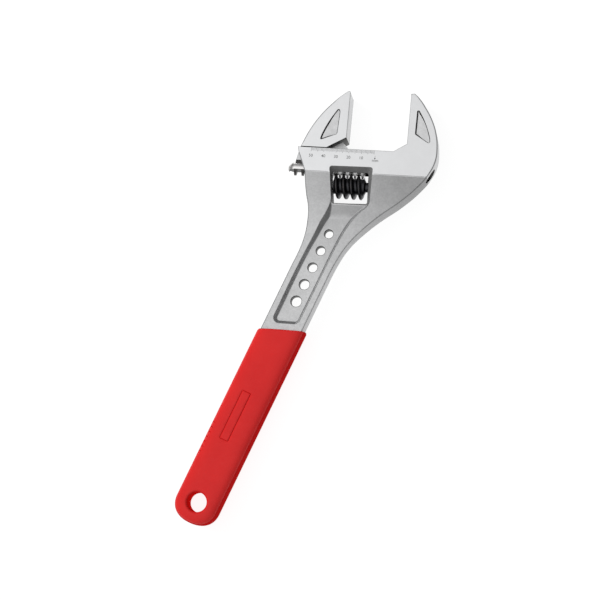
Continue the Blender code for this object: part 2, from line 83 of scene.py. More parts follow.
NOSE_GROOVE_R = 4.6
BORE_R = 5.6
SLOT_END_X = 45.2
WEB_HALF = 3.2
WEB_FOOT_Y = 21.0
DARK_RACK_X = -36.0        # the teeth beyond this get painted shade
SLOT_HALF = 3.6
WORM_Y = 2.1
PITCH = 6.0
CREST_R = 10.2
ROOT_R = 6.35
CREST_W = 1.7
THREAD_ROOT_W = 3.1
THREAD_X = (-13.3, 10.6)
CORE_END_X = 12.2
HUB_R = 3.9
SPOTFACE_R = 4.6
HUB_END_X = 16.9
RIDGE_X = -0.4
TOOTH_TIP_W = 1.6
TOOTH_ROOT_W = 2.75
RACK_ROOT_Y = 12.85
RACK_SKEW = math.radians(5.6)
RIM_TOP_Y, NECK_TOP_Y = 16.3, 10.8
RIM_BOTTOM_Y, NECK_BOTTOM_Y = -12.9, -12.4
RIM_RIGHT_X, NECK_RIGHT_X = 17.3, 13.5
RIM_LEFT_X = (-17.0, -13.0)
NECK_INSET = 0.5
WINDOW_NECK_HALF = 3.0
PIN_R = 2.5
PIN_X = (-26.0, 24.0)
PIN_HEAD_R = 3.9
PIN_HEAD_X = -33.6
PIN_CLEARANCE = 0.4
SPRING_R = 3.9
SPRING_WIRE_R = 0.5
SPRING_X = (-14.3, -9.0)
SPRING_TURNS = 3.5
COUNTERBORE_R = 4.8
COUNTERBORE_X = -8.3
GRIP_HALF_WIDTH = 17.7
GRIP_HALF = 10.2
GRIP_TOP_Y = -117.0
GRIP_END_ALONG = 248.9
GRIP_END_BOW = 16.0
GRIP_END_POWER = 2.3
HANG_R = 7.6
LINING_R = 9.6
SLEEVE_CLEARANCE = 0.3

# ---- finish of the visible surfaces and reach of painted light and shade, millimetres ---
SOFT_EDGE = 1.2            # rounding of forged edges
CRISP_EDGE = 0.4           # rounding along the gripping faces
WINDOW_EDGE = 0.5
SILL_DARK = -0.25          # the painted dark line of shade below the window ends here, past its rim, and the painted light line here
SILL_LIGHT = -0.9          # and the light line here
SILL_EDGE = 0.9            # rounding where the channel ramp meets the window
JAW_TIP_EDGE = 1.3
HOLE_EDGE = 0.35
RIM_BLEND = 0.7
FLOOR_BLEND = 1.1
RECESS_WALL = (1.2, 0.6)   # width of the sloping wall of a jaw recess, left and right
GRIP_CROWN = 4.0           # exponent of the sleeve's cross-section
GRIP_LIP = 1.5
HANG_EDGE = 2.2
HANG_BACK_EDGE = 6.5       # the hanging hole flares toward the back
STEP_ROWS = (-0.45, -0.3, -0.15, 0, 0.15, 0.3, 0.45)    # rows along the bright face's step
STEP_CLEAR = 1.0
LIT_WALL = (-2.4, 1.7)     # reach of the painted light on the channel's right wall about its outline
GROOVE_HALF = 0.25         # half width of the painted shade line around the grip's panel
RIB_MARGIN = 0.1
SIDE_SLOPE = 0.55          # faces of the sleeve steeper than this count as sides and get painted shade
EDGE_RINGS = (0.03, 0.1, 0.22, 0.4, 0.65, 0.95, 1.25, 1.4)

# the worm joint's anchor is on the worm axis, straight above the plan's middle
joints = {j["name"]: j for j in frame["joints"]}
PLAN = Vector(joints["worm_spin"]["pos_m"]) - Vector((0, WORM_Y * MM, 0))
PLACE = Matrix.Translation(PLAN) @ Matrix.Diagonal((MM, MM, MM, 1))


# ---------------------------------------------------------------- outlines
def on_handle(along, across):
    s, c = math.sin(HANDLE_ANGLE), math.cos(HANDLE_ANGLE)
    return (HANDLE_START[0] - s * along + c * across,
            HANDLE_START[1] - c * along - s * across)


def handle_x_at(y, across):
    along = (HANDLE_START[1] - y - math.sin(HANDLE_ANGLE) * across) / math.cos(HANDLE_ANGLE)
    return on_handle(along, across)[0]


def rounded(corners, steps=6):
    """Corner list (x, y, radius) to a point list with the corners as arcs."""
    out = []
    n = len(corners)
    for i, (x, y, r) in enumerate(corners):
        p = Vector((x, y))
        if r <= 0:
            out.append((x, y))
            continue
        a = (Vector(corners[i - 1][:2]) - p).normalized()
        b = (Vector(corners[(i + 1) % n][:2]) - p).normalized()
        half = a.angle(b) / 2
        centre = p + (a + b).normalized() * (r / math.sin(half))
        start = p + a * (r / math.tan(half)) - centre
        end = p + b * (r / math.tan(half)) - centre
        sweep = start.angle_signed(end)
        for k in range(steps + 1):
            v = Matrix.Rotation(-sweep * k / steps, 2) @ start
            out.append((centre.x + v.x, centre.y + v.y))
    return out


def arc(start, end, radius, steps):
    """Points on an arc from start to end that bulges to the left of the way."""
    a, b = Vector(start), Vector(end)
    chord = b - a
    middle = (a + b) / 2
    across = Vector((chord.y, -chord.x)).normalized()
    centre = middle + across * math.sqrt(radius ** 2 - chord.length ** 2 / 4)
    first, last = a - centre, b - centre
    sweep = first.angle_signed(last)
    return [tuple(centre + Matrix.Rotation(-sweep * k / steps, 2) @ first)
            for k in range(steps + 1)]


def circle(x, y, radius, steps=48):
    return [(x + radius * math.cos(2 * math.pi * k / steps),
             y + radius * math.sin(2 * math.pi * k / steps)) for k in range(steps)]


def loop(points, spacing=1.0):
    """A closed counterclockwise loop as an array. Points marked 's' are passed
    smoothly, and long stretches are divided."""
    curve = bpy.data.curves.new("loop", "CURVE")
    curve.dimensions = "2D"
    curve.fill_mode = "NONE"
    curve.resolution_u = 16
    spline = curve.splines.new("BEZIER")
    spline.bezier_points.add(len(points) - 1)
    for bp, p in zip(spline.bezier_points, points):
        bp.co = (p[0], p[1], 0)
        bp.handle_left_type = bp.handle_right_type = "AUTO" if len(p) == 3 else "VECTOR"
    spline.use_cyclic_u = True
    ob = bpy.data.objects.new("loop", curve)
    bpy.context.scene.collection.objects.link(ob)
    bpy.context.view_layer.update()
    mesh = bpy.data.meshes.new_from_object(ob.evaluated_get(
        bpy.context.evaluated_depsgraph_get()))
    line = [v.co.to_2d() for v in mesh.vertices]
    bpy.data.objects.remove(ob)
    bpy.data.curves.remove(curve)
    bpy.data.meshes.remove(mesh)
    out = []
    for a, b in zip(line, line[1:] + line[:1]):
        length = (b - a).length
        if length < 1e-4:
            continue
        parts = max(1, math.ceil(length / spacing))
        out += [a.lerp(b, k / parts) for k in range(parts)]
    array = np.array([tuple(p) for p in out])
    following = np.roll(array, -1, 0)
    area = (array[:, 0] * following[:, 1] - following[:, 0] * array[:, 1]).sum()
    return array if area > 0 else array[::-1].copy()


def distance(points, outline):
    """Distance of plan points from a closed loop, positive inside."""
    a, b = outline, np.roll(outline, -1, 0)
    ab = b - a
    size = (ab * ab).sum(1)
    out = np.empty(len(points))
    chunk = 3000
    for lo in range(0, len(points), chunk):
        p = points[lo:lo + chunk, None]
        ap = p - a
        t = np.clip((ap * ab).sum(2) / size, 0, 1)
        near = np.sqrt(((ap - t[..., None] * ab) ** 2).sum(2)).min(1)
        spans = (a[:, 1] > p[..., 1]) != (b[:, 1] > p[..., 1])
        rise = np.where(np.abs(ab[:, 1]) < 1e-12, 1e-12, ab[:, 1])
        left = p[..., 0] < a[:, 0] + ab[:, 0] * (p[..., 1] - a[:, 1]) / rise
        inside = (spans & left).sum(1) % 2 == 1
        out[lo:lo + chunk] = np.where(inside, near, -near)
    return out


def beside(outline, offsets):
    """Points next to a loop at each offset, positive inside, where the loop
    leaves room for them."""
    along = np.roll(outline, -1, 0) - np.roll(outline, 1, 0)
    inward = np.stack([-along[:, 1], along[:, 0]], 1)
    inward /= np.linalg.norm(inward, axis=1)[:, None]
    rows = []
    for offset in offsets:
        p = outline + inward * offset
        gap = np.abs(distance(p, outline))
        rows.append(p[gap > 0.85 * abs(offset) - 1e-6])
    return np.concatenate(rows)


# ------------------------------------------------------------ height rules
def smooth(t):
    t = np.clip(t, 0, 1)
    return t * t * (3 - 2 * t)


def soft_min(a, b, blend):
    h = np.clip(blend - np.abs(a - b), 0, None) / blend
    return np.minimum(a, b) - h * h * blend / 4


def soft_max(a, b, blend):
    return -soft_min(-a, -b, blend)


def round_edge(gap, radius):
    """How far a quarter-round edge drops at a distance from the edge."""
    t = np.clip(1 - gap / radius, 0, 1)
    return radius * (1 - np.sqrt(np.clip(1 - t * t, 0, None)))


# ------------------------------------------------------------------ meshes
def add_object(name, mesh):
    ob = bpy.data.objects.new(name, mesh)
    bpy.context.scene.collection.objects.link(ob)
    return ob


def from_bmesh(name, bm, place=True):
    bmesh.ops.recalc_face_normals(bm, faces=bm.faces)
    mesh = bpy.data.meshes.new(name)
    bm.to_mesh(mesh)
    bm.free()
    if place:
        mesh.transform(PLACE)
    return add_object(name, mesh)


def relief(name, outer, holes, height, details=(), extra=None, cell=2.2, rings=EDGE_RINGS,
           lower=None, step_y=None):
    """A closed solid over a plan region, with its top at height(points) and its
    underside at -height(points) or at -lower(points). Details are (loop, offsets)
    pairs that the mesh follows, extra holds more points of its own, and the loose
    grid stays clear of a step at step_y."""
    loops = [outer] + holes
    points = np.concatenate(loops)
    edges, start = [], 0
    for one in loops:
        n = len(one)
        edges += [(start + i, start + (i + 1) % n) for i in range(n)]
        start += n
    near = [beside(outer, rings)] + [beside(h, [-r for r in rings]) for h in holes]
    near += [beside(line, offsets) for line, offsets in details]
    if extra is not None:
        near.append(extra)
    near = np.concatenate(near)
    lo, hi = outer.min(0), outer.max(0)
    gx, gy = np.meshgrid(np.arange(lo[0], hi[0], cell), np.arange(lo[1], hi[1], cell * 0.87))
    gx[1::2] += cell / 2
    grid = np.stack([gx.ravel(), gy.ravel()], 1)
    keep = distance(grid, outer) > rings[-1] + 0.4
    if step_y is not None:
        keep &= np.abs(grid[:, 1] - step_y) > STEP_CLEAR
    for hole in holes:
        keep &= distance(grid, hole) < -rings[-1] - 0.4
    for line, offsets in details:
        d = distance(grid, line)
        keep &= (d < min(offsets) - 0.4) | (d > max(offsets) + 0.4)
    inner = np.concatenate([near, grid[keep]])
    clear = distance(inner, outer) > 0.02
    for hole in holes:
        clear &= distance(inner, hole) < -0.02
    points = np.concatenate([points, inner[clear]])
    verts, _, faces, *_ = delaunay_2d_cdt([Vector(p) for p in points], edges, [], 0, 1e-5)
    flat = np.array([tuple(v) for v in verts])
    middles = np.array([flat[list(f)].mean(0) for f in faces])
    inside = distance(middles, outer) > 0
    for hole in holes:
        inside &= distance(middles, hole) < 0
    faces = [f for f, ok in zip(faces, inside) if ok]
    top = height(flat)
    under = top if lower is None else lower(flat)
    bm = bmesh.new()
    up = [bm.verts.new((x, y, z)) for (x, y), z in zip(flat, top)]
    down = [bm.verts.new((x, y, -z)) for (x, y), z in zip(flat, under)]
    used = {}
    for f in faces:
        bm.faces.new([up[i] for i in f])
        bm.faces.new([down[i] for i in reversed(f)])
        for i in range(3):
            key = (f[i], f[(i + 1) % 3])
            used[tuple(sorted(key))] = None if tuple(sorted(key)) in used else key
    for key in used.values():
        if key:
            i, j = key
            bm.faces.new((up[j], up[i], down[i], down[j]))
    bmesh.ops.delete(bm, geom=[v for v in bm.verts if not v.link_faces], context="VERTS")
    return from_bmesh(name, bm)


def plate(name, points, low, high):
    """A straight-sided plate between two heights."""
    bm = bmesh.new()
    outline = loop(points, 50)
    ring = [bm.verts.new((x, y, low)) for x, y in outline]
    top = [bm.verts.new((x, y, high)) for x, y in outline]
    n = len(ring)
    bm.faces.new(ring)
    bm.faces.new(top)
    for i in range(n):
        bm.faces.new((ring[i], ring[(i + 1) % n], top[(i + 1) % n], top[i]))
    return from_bmesh(name, bm)


def turned_x(name, profile, y, sides=64):
    """A solid turned about a line along X from (x, radius) pairs."""
    bm = bmesh.new()
    rows = []
    for x, r in profile:
        if r < 1e-6:
            rows.append([bm.verts.new((x, y, 0))])
        else:
            rows.append([bm.verts.new((x, y + r * math.cos(2 * math.pi * k / sides),
                                       r * math.sin(2 * math.pi * k / sides)))
                         for k in range(sides)])
    for a, b in zip(rows, rows[1:]):
        for k in range(sides):
            n = (k + 1) % sides
            if len(a) == 1:
                bm.faces.new((a[0], b[k], b[n]))
            elif len(b) == 1:
                bm.faces.new((a[k], b[0], a[n]))
            else:
                bm.faces.new((a[k], b[k], b[n], a[n]))
    return from_bmesh(name, bm)


def cut(ob, tools, operation="DIFFERENCE"):
    """Apply the tools to ob and remove them."""
    bpy.context.view_layer.update()
    for tool in tools:
        mod = ob.modifiers.new(tool.name, "BOOLEAN")
        mod.operation = operation
        mod.object = tool
        mod.solver = "EXACT"
        mod.material_mode = "TRANSFER"
    bpy.context.view_layer.update()
    mesh = bpy.data.meshes.new_from_object(ob.evaluated_get(
        bpy.context.evaluated_depsgraph_get()))
    ob.modifiers.clear()
    ob.data = mesh
    mesh.name = ob.name
    for tool in tools:
        bpy.data.objects.remove(tool)
    return ob


def face_middles(ob):
    """The plan point at the middle of each face."""
    return np.array([((Vector(p.center) - PLAN) / MM).to_2d() for p in ob.data.polygons])


def finish_piece(ob, body, nodes=(), sharp=50):
    ob.data.shade_smooth()
    ob.data.set_sharp_from_angle(angle=math.radians(sharp))
    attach(ob, body)
    if nodes:
        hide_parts(*nodes)
    return ob


# --------------------------------------------------------------- materials
def nodes_of(name):
    mat = bpy.data.materials.new(name)
    mat.use_nodes = True
    tree = mat.node_tree
    return mat, tree, tree.nodes["Principled BSDF"]


def noise(tree, scale, detail=3.0, rough=0.55, stretch=None):
    """Noise over the object's own place, with scale in cells per metre."""
    where = tree.nodes.new("ShaderNodeTexCoord")
    tex = tree.nodes.new("ShaderNodeTexNoise")
    tex.inputs["Scale"].default_value = scale
    tex.inputs["Detail"].default_value = detail
    tex.inputs["Roughness"].default_value = rough
    source = where.outputs["Object"]
    if stretch:
        mapping = tree.nodes.new("ShaderNodeMapping")
        mapping.inputs["Scale"].default_value = stretch
        tree.links.new(source, mapping.inputs["Vector"])
        source = mapping.outputs["Vector"]
    tree.links.new(source, tex.inputs["Vector"])
    return tex.outputs["Fac"]


def ramp(tree, fac, stops):
    node = tree.nodes.new("ShaderNodeValToRGB")
    elements = node.color_ramp.elements
    while len(elements) < len(stops):
        elements.new(0.5)
    for e, (pos, colour) in zip(elements, stops):
        e.position = pos
        e.color = (*colour, 1) if len(colour) == 3 else colour
    tree.links.new(fac, node.inputs["Fac"])
    return node.outputs["Color"]


def grey(value):
    return (value, value, value)


def bump(tree, shader, height, distance_mm, strength=1.0):
    node = tree.nodes.new("ShaderNodeBump")
    node.inputs["Strength"].default_value = strength
    node.inputs["Distance"].default_value = distance_mm * MM
    tree.links.new(height, node.inputs["Height"])
    tree.links.new(node.outputs["Normal"], shader.inputs["Normal"])


def multiply(tree, a, b):
    node = tree.nodes.new("ShaderNodeMix")
    node.data_type = "RGBA"
    node.blend_type = "MULTIPLY"
    node.inputs["Factor"].default_value = 1.0
    tree.links.new(a, node.inputs[6])
    tree.links.new(b, node.inputs[7])
    return node.outputs[2]


def steepness(tree, edge, flank):
    """Painted shade that is 1 on flat tops, edge on sloping surfaces and flank on sides."""
    where = tree.nodes.new("ShaderNodeTexCoord")
    split = tree.nodes.new("ShaderNodeSeparateXYZ")
    tree.links.new(where.outputs["Normal"], split.inputs[0])
    size = tree.nodes.new("ShaderNodeMath")
    size.operation = "ABSOLUTE"
    tree.links.new(split.outputs["Z"], size.inputs[0])
    return ramp(tree, size.outputs[0], [(0.04, grey(flank)), (0.2, grey(edge)),
                                        (0.72, grey(edge)), (0.92, grey(1.0))])


def drift(tree, direction, start, end):
    """Painted light and shade that changes evenly across the plan: start and end are (place along
    the direction in mm, shade) pairs."""
    where = tree.nodes.new("ShaderNodeTexCoord")
    dot = tree.nodes.new("ShaderNodeVectorMath")
    dot.operation = "DOT_PRODUCT"
    dot.inputs[1].default_value = (*direction, 0)
    tree.links.new(where.outputs["Object"], dot.inputs[0])
    base = Vector(direction).dot(PLAN.to_2d())
    node = tree.nodes.new("ShaderNodeMapRange")
    node.inputs["From Min"].default_value = base + start[0] * MM
    node.inputs["From Max"].default_value = base + end[0] * MM
    node.inputs["To Min"].default_value = start[1]
    node.inputs["To Max"].default_value = end[1]
    tree.links.new(dot.outputs["Value"], node.inputs["Value"])
    return node.outputs["Result"]


def metal(name, colours, roughness, grain_scale, grain_depth, edge=None, across=None):
    """A metal with mottled colour, uneven gloss and a surface grain, with painted shade
    on its edges and sides, and with a slow painted change of light and shade across the plan."""
    mat, tree, shader = nodes_of(name)
    shader.inputs["Metallic"].default_value = 1.0
    colour = ramp(tree, noise(tree, 60), [(0.35, colours[0]), (0.65, colours[1])])
    speckle = ramp(tree, noise(tree, grain_scale / 5, 2), [(0.35, grey(1 - grain_depth * 3)),
                                                           (0.65, grey(1.0))])
    colour = multiply(tree, colour, speckle)
    if edge:
        colour = multiply(tree, colour, steepness(tree, *edge))
    if across:
        colour = multiply(tree, colour, drift(tree, *across))
    tree.links.new(colour, shader.inputs["Base Color"])
    gloss = ramp(tree, noise(tree, 260, 4), [(0.3, grey(roughness[0])),
                                             (0.7, grey(roughness[1]))])
    tree.links.new(gloss, shader.inputs["Roughness"])
    bump(tree, shader, noise(tree, grain_scale, 2, 0.5), grain_depth)
    return mat


# the edge pairs paint shade on sloping faces and sides, the across triples a slow change of light
# and shade over the plan
satin = metal("satin_chrome", ((0.81, 0.815, 0.825), (0.83, 0.835, 0.845)), (0.28, 0.32),
              900, 0.001, (0.45, 0.68), ((-1, 0), (-60, 0.92), (40, 1.0)))
blasted = metal("blasted_chrome", ((0.54, 0.542, 0.546), (0.57, 0.572, 0.576)), (0.48, 0.56),
                3600, 0.03, (0.58, 0.72), ((-1.0, -0.8), (-45, 0.84), (75, 1.4)))
# painted light: a lighter copy of the blasted chrome, without edge shade, for lit walls and the
# light line below the window
lit_wall_steel = metal("painted_light_wall_blast", ((0.68, 0.682, 0.686), (0.73, 0.732, 0.736)), (0.48, 0.56),
                   3600, 0.03, (1.0, 1.0), ((-1.0, -0.8), (-45, 0.84), (75, 1.4)))
fine_steel = metal("fine_blast", ((0.76, 0.763, 0.77), (0.83, 0.833, 0.84)), (0.42, 0.52),
                   3600, 0.02, (0.3, 0.8))
rack_steel = metal("rack_steel", ((0.86, 0.845, 0.835), (0.95, 0.935, 0.925)), (0.22, 0.36),
                   1500, 0.01)
# painted shade: near black for bores, undersides, recess walls, hole edges and the rack's shaded
# teeth
painted_shade_steel = metal("painted_shade_steel", ((0.05, 0.05, 0.05), (0.09, 0.088, 0.085)), (0.35, 0.5),
                   1500, 0.02)
plain_steel = metal("plain_steel", ((0.45, 0.44, 0.43), (0.56, 0.55, 0.54)), (0.25, 0.4),
                    1500, 0.01)


def cast_steel():
    """Dull inside walls of the window, half metal and half scale, made darker as painted shade; it
    also paints the dark line of shade below the window.
    """
    mat, tree, shader = nodes_of("cast_steel")
    shader.inputs["Metallic"].default_value = 0.4
    tree.links.new(ramp(tree, noise(tree, 300), [(0.3, grey(0.21)), (0.7, grey(0.27))]),
                   shader.inputs["Base Color"])
    shader.inputs["Roughness"].default_value = 0.6
    bump(tree, shader, noise(tree, 2600, 2), 0.03)
    return mat


def tooth_steel():
    """Dull pale flanks and tips of the rack's teeth."""
    mat, tree, shader = nodes_of("tooth_steel")
    shader.inputs["Metallic"].default_value = 0.3
    tree.links.new(ramp(tree, noise(tree, 300), [(0.3, grey(0.52)), (0.7, grey(0.62))]),
                   shader.inputs["Base Color"])
    shader.inputs["Roughness"].default_value = 0.5
    bump(tree, shader, noise(tree, 2600, 2), 0.02)
    return mat


def black_oxide():
    """Blackened steel, rubbed brown-grey on the crests of the thread."""
    mat, tree, shader = nodes_of("black_oxide")
    shader.inputs["Metallic"].default_value = 1.0
    place = tree.nodes.new("ShaderNodeTexCoord")
    shift = tree.nodes.new("ShaderNodeVectorMath")
    shift.operation = "SUBTRACT"
    shift.inputs[1].default_value = Vector(joints["worm_spin"]["pos_m"])
    tree.links.new(place.outputs["Object"], shift.inputs[0])
    flat = tree.nodes.new("ShaderNodeVectorMath")
    flat.operation = "MULTIPLY"
    flat.inputs[1].default_value = (0, 1 / MM, 1 / MM)
    tree.links.new(shift.outputs[0], flat.inputs[0])
    length = tree.nodes.new("ShaderNodeVectorMath")
    length.operation = "LENGTH"
    tree.links.new(flat.outputs[0], length.inputs[0])
    worn = tree.nodes.new("ShaderNodeMapRange")
    worn.inputs["From Min"].default_value = CREST_R - 0.35
    worn.inputs["From Max"].default_value = CREST_R
    tree.links.new(length.outputs["Value"], worn.inputs["Value"])
    patch = tree.nodes.new("ShaderNodeMath")
    patch.operation = "MULTIPLY"
    tree.links.new(worn.outputs["Result"], patch.inputs[0])
    tree.links.new(ramp(tree, noise(tree, 700, 3), [(0.45, grey(0)), (0.7, grey(1))]),
                   patch.inputs[1])
    tree.links.new(ramp(tree, patch.outputs[0], [(0, (0.048, 0.048, 0.052)),
                                                 (1, (0.085, 0.075, 0.068))]),
                   shader.inputs["Base Color"])
    tree.links.new(ramp(tree, noise(tree, 400, 4), [(0.3, grey(0.24)), (0.7, grey(0.4))]),
                   shader.inputs["Roughness"])
    bump(tree, shader, noise(tree, 1500, 2), 0.01)
    return mat


def red_vinyl(name, shade, specular):
    mat, tree, shader = nodes_of(name)
    colour = ramp(tree, noise(tree, 45, 4),
                  [(0.35, (0.64 * shade, 0.013 * shade, 0.013 * shade)),
                   (0.65, (0.68 * shade, 0.016 * shade, 0.015 * shade))])
    tree.links.new(colour, shader.inputs["Base Color"])
    tree.links.new(ramp(tree, noise(tree, 350, 4), [(0.3, grey(0.46)), (0.7, grey(0.56))]),
                   shader.inputs["Roughness"])
    shader.inputs["Specular IOR Level"].default_value = specular
    bump(tree, shader, noise(tree, 1400, 3), 0.02)
    return mat


def mark_ink():
    mat, tree, shader = nodes_of("etched_marks")
    shader.inputs["Metallic"].default_value = 0.4
    tree.links.new(ramp(tree, noise(tree, 900, 2), [(0.3, grey(0.1)), (0.7, grey(0.16))]),
                   shader.inputs["Base Color"])
    shader.inputs["Roughness"].default_value = 0.6
    return mat


# -------------------------------------------------------------------- body
def body_loop():
    half = HANDLE_WIDTH / 2
    right = [(45.4, JAW_TIP_Y + 0.4), (49.0, 74.6, "s"), (55.4, 66.2, "s"),
             (60.8, 57.0, "s"), (64.8, 46.4, "s"), (66.7, 34.6, "s"), (66.2, 24.2, "s"),
             (62.4, 14.2, "s"), (54.6, 3.2, "s"), (40.6, -10.7, "s"), (26.1, -22.3, "s"),
             (13.2, -34.4, "s"), (2.4, -47.2, "s"), (-5.0, -60.6, "s")]
    straight = [(*on_handle(38, half), "s"), on_handle(48, half)]
    end = rounded([(*on_handle(CORE_END_ALONG, half), 11.0),
                   (*on_handle(CORE_END_ALONG, -half), 11.0)] +
                  [(*on_handle(48, -half), 0), (*on_handle(48, half), 0)])[:14]
    left = [on_handle(46, -half), (*on_handle(34, -half), "s"), (-35.4, -53.0, "s"),
            (-32.2, -41.4, "s"), (-30.8, -29.4, "s"), (-31.2, -17.8, "s"),
            (-33.4, -8.6, "s"), (-35.0, -0.6, "s"), (-36.4, 10.1), (-42.6, 25.2)]
    top = [(-43.6, LAND_Y), (32.4, LAND_Y), (FIXED_FACE_X, 36.6), (FIXED_FACE_X, JAW_TIP_Y)]
    return loop(top + right + straight + end + left)


def channel_loop():
    half = CHANNEL_WIDTH / 2
    fan_left = [(-11.6, -9.0), (-12.6, -15.0), (-15.2, -21.6), (-19.4, -29.4), (-24.2, -40.0)]
    fan_right = [(-1.2, -36.4), (3.5, -27.8), (9.4, -19.6), (14.8, -14.0), (15.7, -9.0)]
    foot = rounded([(handle_x_at(CHANNEL_END_Y, half), CHANNEL_END_Y, 5.0),
                    (handle_x_at(CHANNEL_END_Y, -half), CHANNEL_END_Y, 4.4),
                    (*on_handle(20, -half), 0), (*on_handle(24, half), 0)])[:14]
    smooth_left = [fan_left[0]] + [(*p, "s") for p in fan_left[1:]]
    smooth_right = [(*p, "s") for p in fan_right[:-1]] + [fan_right[-1]]
    return loop(smooth_left + [(*on_handle(20, -half), "s")] + foot[::-1] +
                [(*on_handle(24, half), "s"), (*on_handle(12, half), "s")] + smooth_right, 0.9)


WINDOW_DEPTH = HEAD_HALF - WINDOW_NECK_HALF
LEFT_LEAN = (RIM_LEFT_X[1] - RIM_LEFT_X[0]) / (RIM_TOP_Y - RIM_BOTTOM_Y)


def window_left(y):
    """X of the window's left rim at a height in the plan."""
    return RIM_LEFT_X[0] + (RIM_TOP_Y - y) * LEFT_LEAN


def window_neck():
    """The straight-through part of the window."""
    left = window_left(NECK_BOTTOM_Y) + NECK_INSET
    return loop(rounded([(window_left(NECK_TOP_Y) + NECK_INSET, NECK_TOP_Y, 1.4),
                         (NECK_RIGHT_X, NECK_TOP_Y, 1.4),
                         (NECK_RIGHT_X + 0.9, NECK_BOTTOM_Y + 0.6, 1.3),
                         (left, NECK_BOTTOM_Y - 0.3, 1.3)]), 0.5)


def window_rim():
    """The window's outline in the faces of the head."""
    return loop(rounded([(window_left(RIM_TOP_Y), RIM_TOP_Y - 0.6, 1.9),
                         (RIM_RIGHT_X, RIM_TOP_Y, 1.9),
                         (RIM_RIGHT_X, RIM_BOTTOM_Y - 1.2, 2.0),
                         (window_left(RIM_BOTTOM_Y), RIM_BOTTOM_Y - 1.2, 2.0)]), 0.5)


def window_walls(p, neck, rim):
    """Height of the walls that rise from the neck to the rim."""
    out = np.clip(-distance(p, neck), 0, None)
    left = distance(p, rim)
    share = np.where(left > 0, out / np.clip(out + left, 1e-6, None),
                     1 - left / np.clip(out, 0.3, None))
    return WINDOW_NECK_HALF + WINDOW_DEPTH * share


def recess_loop(kind):
    if kind == "fixed":
        back = arc((50.1, 63.9), (60.9, 38.4), 78.0, 8)[::-1]
        corners = [(48.3, 64.6, 1.0), (48.1, 44.6, 1.2), (60.6, 37.0, 1.3)]
        corners += [(x, y, 0) for x, y in back[1:-1]] + [(50.1, 63.9, 0.8)]
    else:
        back = arc((-26.6, 37.9), (-14.2, 62.2), 86.0, 8)
        corners = [(-26.9, 36.0, 0.9)] + [(x, y, 0) for x, y in back[1:-1]]
        corners += [(-13.6, 63.2, 1.0), (-12.5, 60.0, 0), (-13.4, 41.8, 1.6)]
    return loop(rounded(corners), 0.5)


RECESS_RINGS = (-0.3, -0.15, -0.05, 0.05, 0.15, 0.25, 0.35, 0.45, 0.6, 0.8, 1.05, 1.3)
WINDOW_RINGS = (-0.9, -0.6, -0.4, -0.25, -0.12, 0.0, 0.12, 0.25, 0.4, 0.8, 1.4, 2.1, 2.8)


def recess_wall(points, outline):
    """Width of the recess's sloping wall: the left wall leans more."""
    side = smooth((outline[:, 0].mean() - points[:, 0]) / 5 + 0.5)
    return RECESS_WALL[1] + (RECESS_WALL[0] - RECESS_WALL[1]) * side


def recess_drop(points, outline):
    return RECESS_DEPTH * smooth((distance(points, outline) + 0.15) /
                                 recess_wall(points, outline))


def recess_finish(ob, middles, outline):
    """1 on the recess floor, 2 on its left wall for painted shade, 0 elsewhere."""
    reach = distance(middles, outline)
    out = []
    for poly, d, wall in zip(ob.data.polygons, reach, recess_wall(middles, outline)):
        inside = abs(poly.normal.z) > 0.2 and d > -0.1
        if inside and d > wall - 0.15:
            out.append(1)
        else:
            out.append(2 if inside and abs(poly.normal.x) > 0.2 and d > 0 else 0)
    return out


